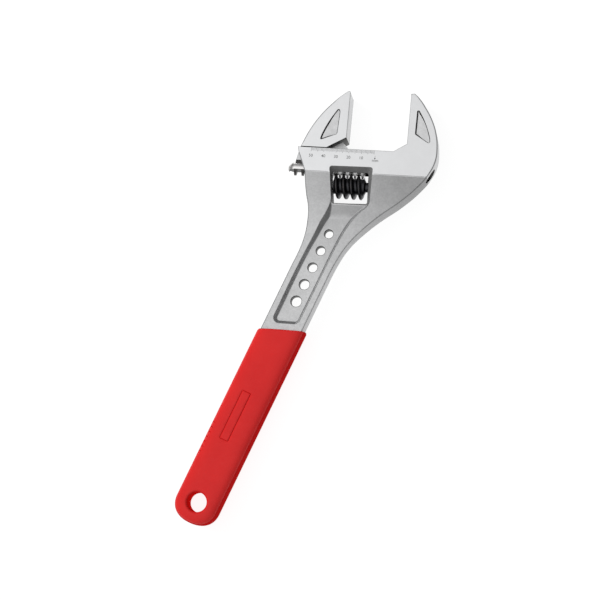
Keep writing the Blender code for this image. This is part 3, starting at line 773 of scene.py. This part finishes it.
def build_body():
    outer, window, channel = body_loop(), window_neck(), channel_loop()
    rim = window_rim()
    recess = recess_loop("fixed")
    holes = []
    for i, diameter in enumerate(HANDLE_HOLES):
        x, y = on_handle(i * HANDLE_HOLE_PITCH, 0)
        holes.append(np.array(circle(x, y, diameter / 2)))
    hang = np.array(circle(*on_handle(HANG_ALONG, 0), CORE_HOLE_R))

    def height(p):
        x, y = p[:, 0], p[:, 1]
        face = HANDLE_HALF + (NECK_HALF - HANDLE_HALF) * smooth((y + 54) / 48)
        face = face + (HEAD_HALF - NECK_HALF) * smooth((y - BRIGHT_EDGE_Y + 0.3) / 0.6)
        wall = HANDLE_HALF - distance(p, channel) / CHANNEL_DRAFT
        climb = (y - RAMP_Y[0]) / (RAMP_Y[1] - RAMP_Y[0])
        floor = CHANNEL_FLOOR + (RAMP_TOP - CHANNEL_FLOOR) * np.clip(climb, 0, 1)
        floor = soft_max(floor, np.full(len(p), CHANNEL_FLOOR), 1.2)
        z = soft_min(face, soft_max(wall, floor, FLOOR_BLEND), RIM_BLEND)
        z = soft_min(z, window_walls(p, window, rim), WINDOW_EDGE)
        z = z - recess_drop(p, recess)
        radius = CRISP_EDGE + (SOFT_EDGE - CRISP_EDGE) * np.maximum(
            smooth((x - 43) / 8), smooth((29 - y) / 6))
        z = z - round_edge(distance(p, outer), radius)
        sill = np.where(y < NECK_BOTTOM_Y, -distance(p, window), SILL_EDGE)
        z = z - round_edge(sill, SILL_EDGE)
        for hole in holes:
            z = z - round_edge(-distance(p, hole), HOLE_EDGE)
        return z

    steps = np.concatenate([[(x, BRIGHT_EDGE_Y + dy) for x in np.arange(-40, 64, 1.0)]
                            for dy in STEP_ROWS])
    walls = (-2.2, -1.8, -1.5, -1.2, -0.9, -0.6, -0.35, -0.1, 0.15, 0.5, 0.9, 1.3, 1.6,
             1.9, 2.2, 2.5, 2.9)
    body = relief("wrench_body", outer, [window, hang] + holes, height,
                  [(channel, walls), (recess, RECESS_RINGS), (rim, WINDOW_RINGS)], steps,
                  step_y=BRIGHT_EDGE_Y)
    # the last three are painted shade, scale with painted shade, and painted light
    bright, grainy, fine, dark, scale_and_shade, wall = range(6)
    for mat in (satin, blasted, fine_steel, painted_shade_steel, cast_steel(), lit_wall_steel):
        body.data.materials.append(mat)
    middles = face_middles(body)
    for poly, middle in zip(body.data.polygons, middles):
        poly.material_index = bright if middle[1] > BRIGHT_EDGE_Y - STEP_ROWS[-1] else grainy
    for poly, index in zip(body.data.polygons, recess_finish(body, middles, recess)):
        if index:
            poly.material_index = fine if index == 1 else dark
    # painted light on the channel's right wall, which faces the light
    for poly, d in zip(body.data.polygons, distance(middles, channel)):
        sloping = poly.normal.x < -0.12 and abs(poly.normal.z) > 0.2
        if LIT_WALL[0] < d < LIT_WALL[1] and sloping:
            poly.material_index = wall
    # painted shade on the window's inner walls and in a dark line below it, and a painted light
    # line below that
    for poly, middle, d in zip(body.data.polygons, middles, distance(middles, rim)):
        under = middle[1] < NECK_BOTTOM_Y and abs(middle[0]) < NECK_RIGHT_X
        if d > (SILL_DARK if under else 0.05):
            poly.material_index = scale_and_shade
        elif under and d > SILL_LIGHT:
            poly.material_index = wall
    # painted shade round the handle holes
    for hole in holes:
        for poly, d in zip(body.data.polygons, distance(middles, hole)):
            if d > -HOLE_EDGE:
                poly.material_index = dark

    bore = turned_x("bore", [(-70, 0), (-70, BORE_R), (80, BORE_R), (80, 0)], RAIL_Y)
    slot = plate("slot", [(-70, RAIL_Y), (-70, 40), (SLOT_END_X - 6.8, 40),
                          (SLOT_END_X, 33.2), (SLOT_END_X, RAIL_Y)], -SLOT_HALF, SLOT_HALF)
    wide, narrow = PIN_HEAD_R + PIN_CLEARANCE, PIN_R + PIN_CLEARANCE
    step_x, end_x = PIN_X[0] + PIN_CLEARANCE, PIN_X[1] + PIN_CLEARANCE
    pin_bore = turned_x("pin_bore", [(-70, 0), (-70, wide), (step_x, wide), (step_x, narrow),
                                     (end_x, narrow), (end_x, 0)], WORM_Y)
    spotface = turned_x("spotface", [(0, 0), (0, SPOTFACE_R), (RIM_RIGHT_X, SPOTFACE_R),
                                     (RIM_RIGHT_X, 0)], WORM_Y)
    tools = [bore, slot, pin_bore, spotface]
    # painted shade inside the bores, the slot and the spotface
    for tool in tools:
        tool.data.materials.append(painted_shade_steel)
    cut(body, tools)
    return finish_piece(body, "handle_and_fixed_jaw", ["wrench_body"])


# --------------------------------------------------------------------- jaw
def build_jaw():
    low = LAND_Y + JAW_GAP
    back = arc((-41.4, low), (-7.4, JAW_TIP_Y), 92.0, 24)
    outer = loop(rounded([(x, y, 0) for x, y in back] +
                         [(MOVING_FACE_X, JAW_TIP_Y + 0.3, JAW_TIP_EDGE),
                          (MOVING_FACE_X, 39.2, 0), (-20.8, low, 0)]), 0.9)
    recess = recess_loop("moving")

    def height(p):
        x, y = p[:, 0], p[:, 1]
        back = smooth((-12 - x) / 8) * smooth((y - low - 0.5) / 4)
        radius = CRISP_EDGE + (SOFT_EDGE - CRISP_EDGE) * back
        return HEAD_HALF - recess_drop(p, recess) - round_edge(distance(p, outer), radius)

    jaw = relief("movable_jaw", outer, [], height, [(recess, RECESS_RINGS)])
    for mat in (satin, fine_steel, painted_shade_steel):
        jaw.data.materials.append(mat)
    middles = face_middles(jaw)
    for poly, index in zip(jaw.data.polygons, recess_finish(jaw, middles, recess)):
        poly.material_index = index
        # painted shade on the faces under the jaw plate
        if poly.normal.y < -0.5:
            poly.material_index = 2

    web = plate("web", [(-45.3, WEB_FOOT_Y), (-44.2, 26.8), (-38.4, low + 1.3), (-30.0, 38.0),
                        (-16.0, 44.4), (-4.6, 32.2), (-4.6, WEB_FOOT_Y)], -WEB_HALF, WEB_HALF)
    web.data.materials.append(fine_steel)
    foot_half = WEB_HALF - 0.05
    foot = plate("web_foot", [(-45.9, RAIL_Y), (-45.3, WEB_FOOT_Y + 0.5),
                              (-4.65, WEB_FOOT_Y + 0.5), (-4.65, RAIL_Y)], -foot_half, foot_half)
    # painted shade between the web and the rail
    foot.data.materials.append(painted_shade_steel)
    nose = RAIL_X[0] + NOSE_LENGTH
    rail = turned_x("rail", [(RAIL_X[0], 0), (RAIL_X[0], 1.7), (RAIL_X[0] + 0.15, 2.0),
                             (RAIL_X[0] + 0.5, 2.4), (nose - 1.6, 4.6), (nose - 0.5, 5.05),
                             (nose, RAIL_R - 0.2), (nose, NOSE_GROOVE_R),
                             (nose + 0.6, NOSE_GROOVE_R), (nose + 0.6, RAIL_R),
                             (DARK_RACK_X, RAIL_R), (RAIL_X[1] - 1.2, RAIL_R),
                             (RAIL_X[1], RAIL_R - 1.2), (RAIL_X[1], 0)], RAIL_Y)
    for mat in (rack_steel, painted_shade_steel, plain_steel, tooth_steel()):
        rail.data.materials.append(mat)
    # painted shade on the rack's teeth outside the window
    painted_shade, plain, tooth = 1, 2, 3
    for poly, (x, y) in zip(rail.data.polygons, face_middles(rail)):
        if x < nose - 0.01:
            poly.material_index = plain
        elif y < RACK_ROOT_Y:
            poly.material_index = painted_shade if x < DARK_RACK_X else tooth
    gap_top, gap_mouth = PITCH - TOOTH_ROOT_W, PITCH - TOOTH_TIP_W
    mouth_y = RAIL_Y - RAIL_R
    widen = (gap_mouth - gap_top) / (RACK_ROOT_Y - mouth_y)
    reach = mouth_y - 2.0
    wide = gap_mouth + widen * 2.0
    gaps = []
    for k in range(11):
        x = RIDGE_X + (k - 8) * PITCH
        gap = plate(f"gap_{k}", [(-wide / 2, reach - RAIL_Y), (-gap_top / 2, RACK_ROOT_Y - RAIL_Y),
                                 (gap_top / 2, RACK_ROOT_Y - RAIL_Y), (wide / 2, reach - RAIL_Y)],
                    -8, 8)
        gap.data.transform(PLACE @ Matrix.Translation((x, RAIL_Y, 0)) @
                           Matrix.Rotation(RACK_SKEW, 4, "Y") @ PLACE.inverted())
        gap.data.materials.append(rack_steel)
        gap.data.materials.append(painted_shade_steel)
        for poly in gap.data.polygons:
            # painted shade in the gap roots and on the teeth outside the window
            root = abs(poly.normal.y) > 0.9
            poly.material_index = painted_shade if x < DARK_RACK_X or root else 0
        gaps.append(gap)
    cut(rail, gaps)
    cut(jaw, [web, foot, rail], "UNION")
    return finish_piece(jaw, "sliding_jaw", ["movable_jaw"])


# -------------------------------------------------------------------- worm
def build_worm():
    """Right-hand single thread with eased crests on a round core."""
    half_crest, half_root = CREST_W / 2 + 0.1, THREAD_ROOT_W / 2
    side = [(half_root + 0.9, ROOT_R - 0.9), (half_root + 0.75, ROOT_R + 0.02),
            (half_root + 0.3, ROOT_R + 0.2), (half_root, ROOT_R + 0.75),
            ((half_crest + half_root) / 2, (ROOT_R + CREST_R) / 2),
            (half_crest + 0.02, CREST_R - 0.75), (half_crest - 0.12, CREST_R - 0.35),
            (half_crest - 0.4, CREST_R - 0.08), (half_crest - 0.7, CREST_R)]
    section = side + [(-x, r) for x, r in reversed(side)]
    turns, per_turn = 6, 60
    bm = bmesh.new()
    rows = []
    for k in range(turns * per_turn + 1):
        angle = 2 * math.pi * k / per_turn
        along = RIDGE_X + PITCH * (k / per_turn - turns / 2)
        rows.append([bm.verts.new((along + x, r * math.cos(angle), r * math.sin(angle)))
                     for x, r in section])
    n = len(section)
    for a, b in zip(rows, rows[1:]):
        for i in range(n):
            bm.faces.new((a[i], b[i], b[(i + 1) % n], a[(i + 1) % n]))
    bm.faces.new(rows[0])
    bm.faces.new(rows[-1])
    bmesh.ops.translate(bm, verts=bm.verts, vec=(0, WORM_Y, 0))
    worm = from_bmesh("adjusting_worm", bm)
    lo, hi = THREAD_X
    taper = 1.6
    envelope = turned_x("envelope", [(lo + 0.2, 0), (lo + 0.2, CREST_R - taper),
                                     (lo + taper, CREST_R + 0.02), (hi - taper, CREST_R + 0.02),
                                     (hi - 0.2, CREST_R - taper), (hi - 0.2, 0)], WORM_Y, 95)
    cut(worm, [envelope], "INTERSECT")
    core = turned_x("core", [(lo, 0), (lo, ROOT_R), (CORE_END_X - 1.2, ROOT_R),
                             (CORE_END_X, HUB_R), (HUB_END_X - 0.5, HUB_R),
                             (HUB_END_X, HUB_R - 0.5), (HUB_END_X, 0)], WORM_Y, 68)
    cut(worm, [core], "UNION")
    hole = turned_x("hole", [(-40, 0), (-40, COUNTERBORE_R), (COUNTERBORE_X, COUNTERBORE_R),
                             (COUNTERBORE_X, PIN_R + PIN_CLEARANCE), (40, PIN_R + PIN_CLEARANCE),
                             (40, 0)], WORM_Y, 52)
    cut(worm, [hole])
    worm.data.materials.clear()
    worm.data.materials.append(black_oxide())
    return finish_piece(worm, "worm", ["adjusting_worm"], 40)


def build_pin():
    ease = 0.5
    x0, x1 = PIN_X
    pin = turned_x("worm_pin", [
        (PIN_HEAD_X, 0), (PIN_HEAD_X, PIN_HEAD_R - ease),
        (PIN_HEAD_X + 0.15, PIN_HEAD_R - 0.15), (PIN_HEAD_X + ease, PIN_HEAD_R),
        (x0, PIN_HEAD_R), (x0, PIN_R), (x1 - ease, PIN_R), (x1, PIN_R - ease), (x1, 0)],
        WORM_Y, 60)
    slot = plate("driver_slot", [(PIN_HEAD_X - 1, -8), (PIN_HEAD_X + 1.8, -8),
                                 (PIN_HEAD_X + 1.8, 12), (PIN_HEAD_X - 1, 12)], -0.6, 0.6)
    cut(pin, [slot])
    pin.data.materials.append(plain_steel)
    return finish_piece(pin, "handle_and_fixed_jaw", ["worm_pin"])


def build_spring():
    """Coil of round wire swept by hand, so that its ends are closed."""
    per_turn, sides = 40, 10
    count = int(SPRING_TURNS * per_turn)
    x0, x1 = SPRING_X[0] + SPRING_WIRE_R, SPRING_X[1] - SPRING_WIRE_R
    bm = bmesh.new()
    rows = []
    for i in range(count + 1):
        a = 2 * math.pi * i / per_turn
        x = x0 + (x1 - x0) * i / count
        out = Vector((0, math.cos(a), math.sin(a)))
        centre = Vector((x, WORM_Y, 0)) + out * SPRING_R
        rows.append([bm.verts.new(centre + SPRING_WIRE_R * (
            out * math.cos(2 * math.pi * k / sides) +
            Vector((1, 0, 0)) * math.sin(2 * math.pi * k / sides))) for k in range(sides)])
    for a, b in zip(rows, rows[1:]):
        for k in range(sides):
            bm.faces.new((a[k], b[k], b[(k + 1) % sides], a[(k + 1) % sides]))
    bm.faces.new(rows[0])
    bm.faces.new(rows[-1])
    spring = from_bmesh("worm_spring", bm)
    spring.data.materials.append(plain_steel)
    return finish_piece(spring, "handle_and_fixed_jaw", ["worm_spring"], 60)


# -------------------------------------------------------------------- grip
PANEL_ALONG = (139.6, 180.2)
PANEL_ACROSS = (-5.8, 1.3)
PANEL_RAISE = 0.1
PANEL_GROOVE = 0.3
RIB_ALONG = (171.1, 195.7)
RIB_COUNT = 7
RIB_ACROSS = (-17.1, -14.6)
RIB_HALF = 0.45
RIB_DEPTH = 0.35


def grip_points(half, top_y):
    """Straight sides with a superelliptic end."""
    end = []
    for k in range(61):
        angle = math.pi * k / 60
        across = half * math.copysign(abs(math.cos(angle)) ** (2 / GRIP_END_POWER),
                                      math.cos(angle))
        along = GRIP_END_BOW * max(math.sin(angle), 0) ** (2 / GRIP_END_POWER)
        end.append(on_handle(GRIP_END_ALONG - GRIP_END_BOW + along, across))
    return [(handle_x_at(top_y, -half), top_y), (handle_x_at(top_y, half), top_y)] + end


def handle_box(along, across):
    return [on_handle(along[0], across[0]), on_handle(along[0], across[1]),
            on_handle(along[1], across[1]), on_handle(along[1], across[0])]


def build_grip():
    outer = loop(grip_points(GRIP_HALF_WIDTH, GRIP_TOP_Y))
    long_outer = loop(grip_points(GRIP_HALF_WIDTH, GRIP_TOP_Y + 40))
    hang_at = on_handle(HANG_ALONG, 0)
    hang = np.array(circle(*hang_at, HANG_R, 72))
    panel = loop(handle_box(PANEL_ALONG, PANEL_ACROSS), 0.8)
    ribs = []
    for k in range(RIB_COUNT):
        along = RIB_ALONG[0] + (RIB_ALONG[1] - RIB_ALONG[0]) * k / (RIB_COUNT - 1)
        ribs.append(loop(handle_box((along - RIB_HALF, along + RIB_HALF), RIB_ACROSS), 0.5))

    def plain(p):
        t = np.clip(distance(p, long_outer) / GRIP_HALF_WIDTH, 0, 1)
        z = GRIP_HALF * (1 - (1 - t) ** GRIP_CROWN) ** (1 / GRIP_CROWN)
        z = np.maximum(z, 0.02)
        z = z - round_edge(GRIP_TOP_Y - p[:, 1], GRIP_LIP)
        return z

    def back(p):
        return plain(p) - round_edge(-distance(p, hang), HANG_BACK_EDGE)

    def front(p):
        z = plain(p) - round_edge(-distance(p, hang), HANG_EDGE)
        inside = distance(p, panel)
        z = z + PANEL_RAISE * smooth(inside / 0.4 + 0.5)
        z = z - PANEL_GROOVE * smooth(1.2 - np.abs(inside) / 0.4)
        for rib in ribs:
            z = z - RIB_DEPTH * smooth(distance(p, rib) / 0.4 + 0.5)
        return np.maximum(z, 0.02)

    line = (-0.5, -0.3, -0.15, 0.0, 0.15, 0.3, 0.5)
    details = [(panel, line)] + [(rib, line) for rib in ribs]
    rings = (0.01, 0.04, 0.1, 0.2, 0.35, 0.6, 0.9, 1.3, 1.8, 2.4, 3.2, 4.2, 5.4)
    grip = relief("grip_sleeve", outer, [hang], front, details, rings=rings, lower=back)

    clear = SLEEVE_CLEARANCE
    half = HANDLE_WIDTH / 2 + clear
    end = rounded([(*on_handle(CORE_END_ALONG + clear, half), 11.3),
                   (*on_handle(CORE_END_ALONG + clear, -half), 11.3),
                   (*on_handle(60, -half), 0), (*on_handle(60, half), 0)])
    cavity = plate("cavity", end, -HANDLE_HALF - clear, HANDLE_HALF + clear)
    keep = plate("keep", circle(*hang_at, LINING_R, 60), -20, 20)
    cut(cavity, [keep])
    cut(grip, [cavity])
    grip.data.materials.clear()
    side, inside, groove_shade = 1, 2, 3
    # the sides and the marks are darker copies as painted shade, the lining a lighter copy as
    # painted light against the hole's shade
    for name, shade, specular in (("red_vinyl", 1.0, 0.3), ("red_vinyl_shaded_sides", 0.82, 0.0),
                                  ("red_vinyl_lit_lining", 1.1, 0.0),
                                  ("red_vinyl_groove_shade", 0.72, 0.0)):
        grip.data.materials.append(red_vinyl(name, shade, specular))
    middles = face_middles(grip)
    pressed = np.max([GROOVE_HALF - np.abs(distance(middles, panel))] +
                     [distance(middles, rib) - RIB_MARGIN for rib in ribs], axis=0) > 0
    # painted shade on the sleeve's sides and in its grooves and ribs, painted light in the lining
    for poly, middle, mark in zip(grip.data.polygons, middles, pressed):
        if abs(poly.normal.z) < SIDE_SLOPE:
            lining = (Vector(middle) - Vector(hang_at)).length < LINING_R
            poly.material_index = inside if lining else side
        if mark and poly.normal.z > 0.1:
            poly.material_index = groove_shade
    return finish_piece(grip, "handle_and_fixed_jaw", ["grip_sleeve"], 40)


# ------------------------------------------------------------- scale marks
SCALE_ZERO_X = 17.35
TICK_Y = (26.6, 29.5)
NUMBER_Y = 23.1
POINTER_X = SCALE_ZERO_X + 1.0
MARK_RAISE = 0.03


def build_scale():
    """Millimetre ticks, tens and a pointer, etched on the head's front."""
    bm = bmesh.new()
    z = HEAD_HALF + MARK_RAISE

    def patch(corners):
        bm.faces.new([bm.verts.new((x, y, z)) for x, y in corners])

    for k in range(51):
        x = SCALE_ZERO_X - k
        short = 0 if k % 5 == 0 else 0.6
        patch([(x - 0.13, TICK_Y[0] + short), (x + 0.13, TICK_Y[0] + short),
               (x + 0.13, TICK_Y[1]), (x - 0.13, TICK_Y[1])])
    patch([(POINTER_X - 0.15, 23.0), (POINTER_X + 0.15, 23.0),
           (POINTER_X + 0.15, 25.4), (POINTER_X - 0.15, 25.4)])
    patch([(POINTER_X - 0.7, 23.6), (POINTER_X, 22.4), (POINTER_X + 0.7, 23.6)])
    marks = from_bmesh("scale_marks", bm)
    words = [(str(n), SCALE_ZERO_X - n) for n in (10, 20, 30, 40, 50)]
    texts = [(word, x, NUMBER_Y, 3.3) for word, x in words]
    texts.append(("mm", POINTER_X + 0.3, 21.6, 3.3))
    for i, (word, x, y, size) in enumerate(texts):
        font = bpy.data.curves.new("scale_text", "FONT")
        font.body = word
        font.size = size
        font.offset = 0.01
        font.align_x = "CENTER"
        font.align_y = "CENTER"
        ob = bpy.data.objects.new(f"scale_text_{i}", font)
        bpy.context.scene.collection.objects.link(ob)
        bpy.context.view_layer.update()
        mesh = bpy.data.meshes.new_from_object(ob.evaluated_get(
            bpy.context.evaluated_depsgraph_get()))
        mesh.transform(PLACE @ Matrix.Translation((x, y, z)))
        bm = bmesh.new()
        bm.from_mesh(marks.data)
        bm.from_mesh(mesh)
        bm.to_mesh(marks.data)
        bm.free()
        bpy.data.objects.remove(ob)
        bpy.data.curves.remove(font)
        bpy.data.meshes.remove(mesh)
    marks.data.materials.clear()
    marks.data.materials.append(mark_ink())
    return finish_piece(marks, "handle_and_fixed_jaw")


# ------------------------------------------------------------------- stage
def build_floor():
    size = 3.0
    bm = bmesh.new()
    bmesh.ops.create_grid(bm, x_segments=1, y_segments=1, size=size)
    floor = from_bmesh("floor", bm, place=False)
    floor.location.z = -0.0005
    mat, _, shader = nodes_of("floor_white")
    shader.inputs["Base Color"].default_value = (0.18, 0.18, 0.18, 1)
    shader.inputs["Roughness"].default_value = 0.9
    shader.inputs["Specular IOR Level"].default_value = 0.1
    shader.inputs["Emission Color"].default_value = (1, 1, 1, 1)
    shader.inputs["Emission Strength"].default_value = 0.9
    floor.data.materials.append(mat)


def area_light(name, at, target, size, power, colour=(1, 1, 1)):
    data = bpy.data.lights.new(name, "AREA")
    data.shape = "RECTANGLE"
    data.size, data.size_y = size
    data.energy = power
    data.color = colour
    ob = bpy.data.objects.new(name, data)
    bpy.context.scene.collection.objects.link(ob)
    ob.location = at
    ob.rotation_euler = (Vector(target) - Vector(at)).to_track_quat("-Z", "Y").to_euler()
    return ob


def build_light():
    world = bpy.data.worlds.new("studio")
    bpy.context.scene.world = world
    world.use_nodes = True
    tree = world.node_tree
    background = tree.nodes["Background"]
    coords = tree.nodes.new("ShaderNodeTexCoord")

    def lobe(direction, stops):
        dot = tree.nodes.new("ShaderNodeVectorMath")
        dot.operation = "DOT_PRODUCT"
        dot.inputs[1].default_value = Vector(direction).normalized()
        tree.links.new(coords.outputs["Generated"], dot.inputs[0])
        return ramp(tree, dot.outputs["Value"], stops)

    overhead = lobe((-0.2, 0.02, 1.0), [(0.0, grey(0.16)), (0.5, grey(0.2)), (0.72, grey(0.42)),
                                        (0.9, grey(0.85)), (1.0, grey(1.0))])
    front = lobe((0.1, -0.95, 0.45), [(0.4, grey(0.0)), (0.8, grey(0.22)), (1.0, grey(0.28))])
    total = tree.nodes.new("ShaderNodeMix")
    total.data_type = "RGBA"
    total.blend_type = "ADD"
    total.inputs["Factor"].default_value = 1.0
    tree.links.new(overhead, total.inputs[6])
    tree.links.new(front, total.inputs[7])
    tree.links.new(total.outputs[2], background.inputs["Color"])
    background.inputs["Strength"].default_value = 1.05
    key = area_light("key", (-1.3, 0.5, 1.1), (0, 0, 0), (0.9, 0.9), 19)
    key.visible_glossy = False


def build_camera():
    data = bpy.data.cameras.new("camera")
    data.lens = 93
    data.sensor_width = 36
    data.clip_start = 0.05
    camera = bpy.data.objects.new("camera", data)
    bpy.context.scene.collection.objects.link(camera)
    at = Vector((0.19212, -0.19853, 1.18983))
    forward = (Vector((-0.00651, 0.00426, 0.021)) - at).normalized()
    up_hint = Vector((-0.06838, 0.98095, 0.18181))
    right = forward.cross(up_hint).normalized()
    up = right.cross(forward)
    turn = Matrix((right, up, -forward)).transposed().to_4x4()
    camera.matrix_world = Matrix.Translation(at) @ turn
    bpy.context.scene.camera = camera


build_camera()
build_floor()
build_light()
build_body()
build_jaw()
build_worm()
build_pin()
build_spring()
build_grip()
build_scale()

scene = bpy.context.scene
scene.view_settings.view_transform = "Standard"
